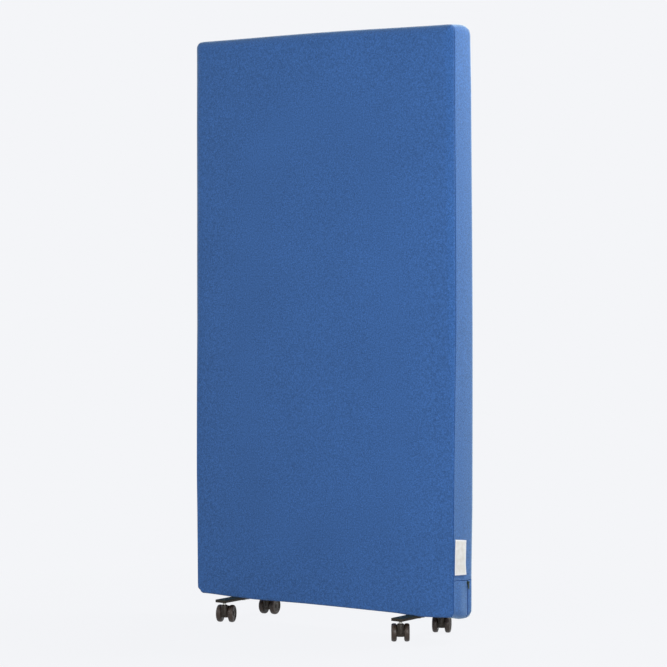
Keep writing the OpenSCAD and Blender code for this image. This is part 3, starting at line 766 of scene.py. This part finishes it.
def powder_look(wire):
    grain = spots(wire, 0.8 * MM, 3, 0.6)
    wear = spots(wire, 14 * MM, 3, 0.6)
    up = wire.node("ShaderNodeSeparateXYZ", {0: wire.node("ShaderNodeTexCoord", output="Object")}, output="Z")
    # Painted sheen: at the height of the bars' top faces the coat's colour turns greenish
    top = wire.node("ShaderNodeMapRange", {0: up, 1: 66.8 * MM, 2: 67.6 * MM})
    side = mixed(wire, wear, srgb(26, 20, 13), srgb(45, 37, 25))
    return {"Base Color": mixed(wire, top, side, mixed(wire, wear, srgb(22, 29, 18), srgb(40, 49, 31))),
            "Roughness": 0.42 + grain * 0.2, "Normal": bumped(wire, grain, 0.06 * MM, 0.5)}


def gunmetal_look(wire):
    rub = spots(wire, 1.2 * MM, 3, 0.6)
    return {"Base Color": mixed(wire, rub, srgb(40, 50, 46), srgb(88, 102, 92)), "Roughness": 0.32 + rub * 0.25}


powder = material("black_steel", powder_look, DULL)
gunmetal = material("zip_metal", gunmetal_look, METAL)


def bend(centre, r, start, end, steps=8):
    """Points of an arc about a centre, between two angles in degrees."""
    angles = [math.radians(start + (end - start) * i / steps) for i in range(steps + 1)]
    return [(centre[0] + r * math.cos(a), centre[1] + r * math.sin(a)) for a in angles]


def placed(shape, matrix):
    """Puts a shape drawn in its own frame where it belongs, as a mesh."""
    bmesh.ops.recalc_face_normals(shape, faces=shape.faces[:])
    bmesh.ops.transform(shape, matrix=matrix, verts=shape.verts[:])
    mesh = bpy.data.meshes.new("part")
    shape.to_mesh(mesh)
    shape.free()
    return mesh


def slab(points, low, high, ease, matrix):
    """An outline in the frame's YZ plane, between two distances along X, with its rims eased."""
    shape = bmesh.new()
    face = shape.faces.new([shape.verts.new((low, y, z)) for y, z in points])
    made = bmesh.ops.extrude_face_region(shape, geom=[face])["geom"]
    corners = [g for g in made if isinstance(g, bmesh.types.BMVert)]
    bmesh.ops.translate(shape, vec=(high - low, 0, 0), verts=corners)
    rims = [e for e in shape.edges if abs(e.verts[0].co.x - e.verts[1].co.x) < 0.5 * (high - low)]
    bmesh.ops.bevel(shape, geom=rims, offset=ease, segments=3, profile=0.5, affect="EDGES", material=-1)
    return placed(shape, matrix)


def spun(section, matrix, steps=64):
    """A closed section of (distance along the axis, radius) points, spun about the frame's X axis."""
    shape = bmesh.new()
    corners = [shape.verts.new((along, 0, r)) for along, r in section]
    edges = [shape.edges.new((corners[i], corners[(i + 1) % len(corners)])) for i in range(len(corners))]
    bmesh.ops.spin(shape, geom=corners + edges, cent=(0, 0, 0), axis=(1, 0, 0), dvec=(0, 0, 0),
                   angle=2 * math.pi, steps=steps, use_merge=True, use_duplicate=False, use_normal_flip=False)
    bmesh.ops.remove_doubles(shape, verts=shape.verts[:], dist=0.01 * MM)
    return placed(shape, matrix)


def turn_to(place, axis):
    """A frame at a place with its X axis along an axis and its Z axis up, or its Z to the right if X is up."""
    along = Vector(axis).normalized()
    up = Vector((0, 0, 1)) if abs(along.z) < 0.9 else Vector((1, 0, 0))
    return Matrix.Translation(place) @ Matrix((along, up.cross(along), up)).transposed().to_4x4()


def assembled(name, meshes, finish, body, slot, *nodes):
    """One rigid piece of several meshes, smooth but for its sharp edges, in place of the nodes."""
    shape = bmesh.new()
    for mesh in meshes:
        shape.from_mesh(mesh)
        bpy.data.meshes.remove(mesh)
    mesh = bpy.data.meshes.new(name)
    shape.to_mesh(mesh)
    shape.free()
    obj = finished(name, mesh, finish)
    mesh.set_sharp_from_angle(angle=math.radians(40))
    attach(obj, body)
    if nodes:
        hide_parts(*nodes)


upright = Matrix(((0, 1, 0, 0), (0, 0, 1, 0), (1, 0, 0, 0), (0, 0, 0, 1)))
for node in ("foot_left", "foot_right"):
    low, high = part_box(node)
    low.y, high.y = low.y - FOOT_SPARE, high.y + FOOT_SPARE
    plan = []
    for x, y, start in ((high.x, high.y, 0), (low.x, high.y, 90), (low.x, low.y, 180), (high.x, low.y, 270)):
        centre = (x - math.copysign(FOOT_CORNER, x - (low.x + high.x) / 2), y - math.copysign(FOOT_CORNER, y))
        plan += bend(centre, FOOT_CORNER, start, start + 90, 6)
    bar = slab(plan, low.z, high.z, FOOT_EASE, upright)
    assembled(node + "_bar", [bar], powder, "root", "black_steel", node)

stems = {joint["name"].removeprefix("swivel_"): joint["pos_m"] for joint in frame["joints"]
         if joint["name"].startswith("swivel_")}
for corner, (x, y, _) in stems.items():
    dome = spun(STEM_END, turn_to((x, y, FOOT_TOP), (0, 0, 1)), 32)
    assembled("stem_end_" + corner, [dome], gunmetal, "root", "zinc")


# Castors: each has two moulded wheels with a soft tyre over the rim, turned from their section about the
# roll joint's own axis, and a body with a round neck and a fender that fills the space between them.
WHEEL_R, WHEEL_IN, WHEEL_OUT = 25 * MM, 11 * MM, 25 * MM
WHEEL_MID = (WHEEL_IN + WHEEL_OUT) / 2
TYRE_SEAT = 19.5 * MM
SHOULDER_OUT, SHOULDER_IN = 4.2 * MM, 2.4 * MM
SHOULDER_R = WHEEL_R - 0.5 * MM     # the tread is crowned
FENDER_HALF, CORE_W_HALF, LIP_HALF = 8.4 * MM, 9.7 * MM, 10.7 * MM
FENDER_R, CORE_R, BOSS_R = 22.8 * MM, 20 * MM, 12 * MM
LIP_R, LIP_IN_R, FLANGE_R = 22 * MM, 21 * MM, 20.3 * MM
FENDER_EASE, LIP_EASE = 1.3 * MM, 0.3 * MM
FLANGE_IN, FLANGE_OUT = CORE_W_HALF + 0.3 * MM, WHEEL_IN - 0.1 * MM
NECK_R = 9.5 * MM
BORE_R = 3.05 * MM

tyre_section = (
    [(WHEEL_IN, TYRE_SEAT)]
    + bend((WHEEL_IN + SHOULDER_IN, SHOULDER_R - SHOULDER_IN), SHOULDER_IN, 180, 97)
    + [(WHEEL_MID - 1.5 * MM, WHEEL_R), (WHEEL_MID + 1.0 * MM, WHEEL_R)]
    + bend((WHEEL_OUT - SHOULDER_OUT, SHOULDER_R - SHOULDER_OUT), SHOULDER_OUT, 83, 0)
    + [(WHEEL_OUT, TYRE_SEAT)])
wheel_section = [
    (FLANGE_IN, BORE_R), (FLANGE_IN, FLANGE_R), (FLANGE_OUT, FLANGE_R), (FLANGE_OUT, TYRE_SEAT),
    (WHEEL_OUT - 0.3 * MM, TYRE_SEAT), (WHEEL_OUT - 0.3 * MM, 18.4 * MM), (WHEEL_OUT - 0.8 * MM, 17.6 * MM),
    (WHEEL_OUT - 2.0 * MM, 16.6 * MM), (WHEEL_OUT - 2.4 * MM, 12 * MM), (WHEEL_OUT - 2.2 * MM, 7.6 * MM),
    (WHEEL_OUT - 0.9 * MM, 6.6 * MM), (WHEEL_OUT - 0.4 * MM, 5.2 * MM), (WHEEL_OUT - 0.3 * MM, 1.5 * MM),
    (WHEEL_OUT - 3.2 * MM, 1.5 * MM), (WHEEL_OUT - 3.2 * MM, BORE_R)]
neck_section = [
    (-30 * MM, 0), (-30 * MM, 5 * MM), (-26 * MM, NECK_R), (-1.8 * MM, NECK_R), (-0.7 * MM, NECK_R - 0.5 * MM),
    (0, NECK_R - 1.8 * MM), (0, 5.6 * MM), (-0.8 * MM, 5.2 * MM), (-0.8 * MM, 0)]
fender, core = (bend((0, 0), r, -24, 204, 30) + bend((0, 0), BOSS_R, 226, 314, 10)
                for r in (FENDER_R, CORE_R))
lip = bend((0, 0), LIP_R, -24, 204, 30) + bend((0, 0), LIP_IN_R, 204, -24, 30)


def moulded_look(low, high):
    """Moulded plastic or rubber between two colours, finely grained and scuffed."""
    def look(wire):
        grain = spots(wire, 0.5 * MM, 2, 0.6)
        scuffs = spots(wire, 7 * MM, 4, 0.65)
        return {"Base Color": mixed(wire, scuffs, low, high), "Roughness": 0.30 + scuffs * 0.2,
                "Normal": bumped(wire, grain, 0.03 * MM, 0.5)}
    return look


plastic = material("castor_plastic", moulded_look(srgb(30, 23, 15), srgb(48, 39, 29)), DULL)
rubber = material("tyre", moulded_look(srgb(44, 33, 27), srgb(74, 61, 52)), {"Specular IOR Level": 0.42})

for joint in frame["joints"]:
    if joint["name"].startswith("roll_"):
        corner, hand = joint["name"].removeprefix("roll_").rsplit("_", 1)
        across = Vector(joint["axis"])
        wheel_frame = turn_to(joint["pos_m"], across if hand == "right" else -across)
        body = joint["child"]
        assembled(f"{corner}_{hand}_tread", [spun(tyre_section, wheel_frame)], rubber, body, "tyre",
                  f"{corner}_tyre_{hand}")
        assembled(f"{corner}_{hand}_disc", [spun(wheel_section, wheel_frame)], plastic, body, "castor_plastic",
                  f"{corner}_wheel_{hand}")
        if hand == "right":
            parts = [slab(fender, -FENDER_HALF, FENDER_HALF, FENDER_EASE, wheel_frame),
                     slab(core, -CORE_W_HALF, CORE_W_HALF, LIP_EASE, wheel_frame),
                     slab(lip, -LIP_HALF, LIP_HALF, LIP_EASE, wheel_frame),
                     spun(neck_section, turn_to(stems[corner], (0, 0, 1)), 48)]
            assembled(f"{corner}_body", parts, plastic, f"castor_{corner}", "castor_plastic", f"{corner}_yoke")


# Zip slider, pull and stops: die-cast pieces with eased edges and a blackened finish. The slider runs on the
# folded felt, and its pull hangs from a pin between two ears, on the hinge's own axis.
PIN_R, PIN_HALF = 0.6 * MM, 2.7 * MM
EAR_R, EAR_OUT, EAR_HALF = 1.4 * MM, 2.3 * MM, 0.4 * MM
EYE_R, EYE_IN_R, EYE_HALF = 1.4 * MM, 0.75 * MM, 1.6 * MM
TAB_HALF, INLAY_HALF = 0.5 * MM, 0.75 * MM
CAST_LOW, CAST_HIGH = 0.3 * MM, 1.9 * MM        # the slider's under and upper face, out from the felt
STOP_DROP = 4.6 * MM
hinge = Vector(next(j["pos_m"] for j in frame["joints"] if j["name"] == "zip_pull_hinge"))
felt_x = outline(np.array([side_distance(hinge.z)]), 0)[0][0]
zip_frame = Matrix.Translation((0, hinge.y, hinge.z))
pin_frame = turn_to(hinge, (0, 1, 0))
ear_frame = Matrix.Translation(hinge) @ Matrix(((0, -1, 0, 0), (1, 0, 0, 0), (0, 0, 1, 0), (0, 0, 0, 1)))


def in_mm(points):
    return [(a * MM, b * MM) for a, b in points]


slider_plan = in_mm([(-4.1, -1.5), (-3.3, -6.4), (-2.6, -7.2), (2.6, -7.2), (3.3, -6.4), (4.1, -1.5),
                     (3.9, 0.8), (2.4, 2.0), (-2.4, 2.0), (-3.9, 0.8)])
ear_plan = bend((0, 0), EAR_R, 0, 180, 8) + in_mm([(-1.5, -2.4), (1.5, -2.4)])
tab_plan = in_mm([(1.6, 0.9), (-1.6, 0.9), (-1.6, -2.6), (-2.8, -5.0)] + bend((-0.4, -16.4), 2.4, 180, 270, 5)
                 + bend((0.4, -16.4), 2.4, 270, 360, 5) + [(2.8, -5.0), (1.6, -2.6)])
inlay_plan = in_mm(bend((0, -15.6), 1.6, 180, 360, 8) + bend((0, -6.2), 1.6, 0, 180, 8))
stop_plan = in_mm([(-2.6, -1), (2.6, -1), (2.6, 1), (-2.6, 1)])

slider_parts = [slab(slider_plan, felt_x + CAST_LOW, felt_x + CAST_HIGH, 0.45 * MM, zip_frame),
                spun([(-PIN_HALF, 0), (-PIN_HALF, PIN_R), (PIN_HALF, PIN_R), (PIN_HALF, 0)], pin_frame, 20)]
for middle in (-EAR_OUT, EAR_OUT):
    slider_parts.append(slab(ear_plan, middle - EAR_HALF, middle + EAR_HALF, 0.2 * MM, ear_frame))
assembled("slider_cast", slider_parts, gunmetal, "zip_runner", "zip_metal", "zip_slider")

pull_parts = [slab(tab_plan, hinge.x - TAB_HALF, hinge.x + TAB_HALF, 0.3 * MM, zip_frame),
              slab(inlay_plan, hinge.x - INLAY_HALF, hinge.x + INLAY_HALF, 0.2 * MM, zip_frame),
              spun([(-EYE_HALF, EYE_IN_R), (-EYE_HALF, EYE_R), (EYE_HALF, EYE_R), (EYE_HALF, EYE_IN_R)],
                   pin_frame, 24)]
assembled("pull_cast", pull_parts, gunmetal, "zip_tab", "zip_metal", "zip_pull")

stop_frame = Matrix.Translation((0, ZIP_MID_Y, CROSS_SEAM_Z - STOP_DROP))
stop_parts = []
for side in (-1, 1):
    on_tape = side * (felt_x - TAPE_DEPTH)
    stop_parts.append(slab(stop_plan, on_tape - 0.1 * MM, on_tape + 0.9 * MM, 0.25 * MM, stop_frame))
assembled("zip_end_stops", stop_parts, gunmetal, "root", "zip_metal", "zip_stops")


# Inside: a softwood frame, thin boards and fibre infill, and the zinc-plated screws, nuts, plates, bolts, pins
# and axles that hold the feet and castors. The CAD model's own shapes stay, and get their finish here.
def timber_look(wire):
    grain = spots(wire, 6 * MM, 5, 0.6, stretch=(1, 1, 0.06))
    return {"Base Color": mixed(wire, grain, srgb(176, 140, 96), srgb(214, 184, 140)),
            "Roughness": 0.55 + grain * 0.2, "Normal": bumped(wire, grain, 0.15 * MM, 0.4)}


def zinc_look(wire):
    spangle = spots(wire, 1.6 * MM, 2, 0.5)
    return {"Base Color": mixed(wire, spangle, srgb(150, 148, 143), srgb(196, 195, 190)),
            "Roughness": 0.28 + spangle * 0.2}


finishes = {
    "board": material("board", flat_look(srgb(104, 76, 50), srgb(132, 100, 68), 1.2 * MM, 0.7)),
    "infill": material("infill", flat_look(srgb(150, 149, 140), srgb(182, 181, 172), 3 * MM, 0.9, 1.0 * MM)),
    "timber": material("timber", timber_look),
    "zinc": material("zinc", zinc_look, METAL),
    "black_steel": powder, "castor_plastic": plastic, "tyre": rubber, "zip_metal": gunmetal,
}
for sub in frame["record"]["subparts"]:
    if sub["material_slot"] in finishes:
        node = frame["nodes"][sub["node"]]
        node.data.materials.clear()
        node.data.materials.append(finishes[sub["material_slot"]])


# Stage: a pale floor in a pale room, both with the background's own colour towards the camera and in
# reflections, and soft lamps in front, at the right, high up and behind.
BACKGROUND = srgb(244, 245, 248)
AMBIENT = 0.22          # the room's light on the object
BOUNCE = 0.5            # how much of its light the floor throws back on it
FLOOR_HALF = 12.0
SHADOW = 0.03           # how much of the real shade shows on the floor near the object
SHADE_NEAR, SHADE_FAR = 0.5, 1.6


def seen_share(wire):
    """1 where the camera sees a thing itself, in a reflection or through glass, else 0."""
    rays = [wire.node("ShaderNodeLightPath", output=o) for o in
            ("Is Camera Ray", "Is Glossy Ray", "Is Transmission Ray")]
    return wire.math("MINIMUM", rays[0] + rays[1] + rays[2], 1.0)


pale_floor = bpy.data.materials.new("floor")
pale_floor.use_nodes = True
wire = Wire(pale_floor.node_tree)
seen = seen_share(wire)
away = wire.node("ShaderNodeVectorMath", {0: wire.node("ShaderNodeTexCoord", output="Object")},
                 output="Value", operation="LENGTH")
shade = wire.node("ShaderNodeMapRange", {0: away, 1: SHADE_NEAR, 2: SHADE_FAR, 3: SHADOW, 4: 0.0})
glow = wire.node("ShaderNodeEmission", {"Color": BACKGROUND, "Strength": 1.0})
pale = wire.node("ShaderNodeBsdfDiffuse", {"Color": mixed(wire, seen, shaded(BACKGROUND, BOUNCE), BACKGROUND)})
out = wire.node("ShaderNodeMixShader", {0: seen * (1 - shade), 1: pale, 2: glow})
wire.tree.links.new(out.socket, wire.tree.nodes["Material Output"].inputs["Surface"])

shape = bmesh.new()
bmesh.ops.create_grid(shape, x_segments=1, y_segments=1, size=FLOOR_HALF)
mesh = bpy.data.meshes.new("floor")
shape.to_mesh(mesh)
shape.free()
finished("floor", mesh, pale_floor)

world = bpy.data.worlds.new("studio")
bpy.context.scene.world = world
world.use_nodes = True
room = world.node_tree.nodes["Background"]
room.inputs["Color"].default_value = BACKGROUND
strength = seen_share(Wire(world.node_tree)) * (1 - AMBIENT) + AMBIENT
world.node_tree.links.new(strength.socket, room.inputs["Strength"])


def lamp(name, place, target, size, watts):
    data = bpy.data.lights.new(name, "AREA")
    data.shape, data.size, data.size_y, data.energy = "RECTANGLE", size, size, watts
    obj = bpy.data.objects.new(name, data)
    bpy.context.scene.collection.objects.link(obj)
    obj.location = place
    obj.rotation_euler = (Vector(target) - Vector(place)).to_track_quat("-Z", "Y").to_euler()


MIDDLE = (0, 0, PANEL_ZC)
lamp("front", (-0.6, -5.2, 3.4), MIDDLE, 3.0, 68)
lamp("right", (3.2, -2.6, 1.3), (0.4, 0, 0.8), 2.0, 79)
lamp("high", (1.3, 1.3, 2.5), (0.4, 0, 1.5), 0.9, 46)
lamp("rear", (-0.5, 4.6, 3.2), MIDDLE, 3.0, 78)
bpy.context.scene.view_settings.view_transform = "Standard"

# Camera, fitted to the photograph: its place, turn, tilt and roll, and its focal length in the picture's
# pixels.
IMAGE_PX = 667
FOCAL_PX = 2450.07
SENSOR = 36
CAMERA_AT = Vector((4.1370, -5.5125, 1.0590))
TURN, TILT, ROLL = math.radians(36.80), math.radians(1.88), math.radians(-0.26)
back = Vector((math.sin(TURN) * math.cos(TILT), -math.cos(TURN) * math.cos(TILT), math.sin(TILT)))
right = (-back).cross(Vector((0, 0, 1))).normalized()
up = right.cross(-back)
right, up = (math.cos(ROLL) * right + math.sin(ROLL) * up, math.cos(ROLL) * up - math.sin(ROLL) * right)
camera = bpy.data.objects.new("camera", bpy.data.cameras.new("camera"))
bpy.context.scene.collection.objects.link(camera)
camera.data.sensor_width = SENSOR
camera.data.lens = FOCAL_PX * SENSOR / IMAGE_PX
camera.matrix_world = Matrix.Translation(CAMERA_AT) @ Matrix((right, up, back)).transposed().to_4x4()
bpy.context.scene.camera = camera
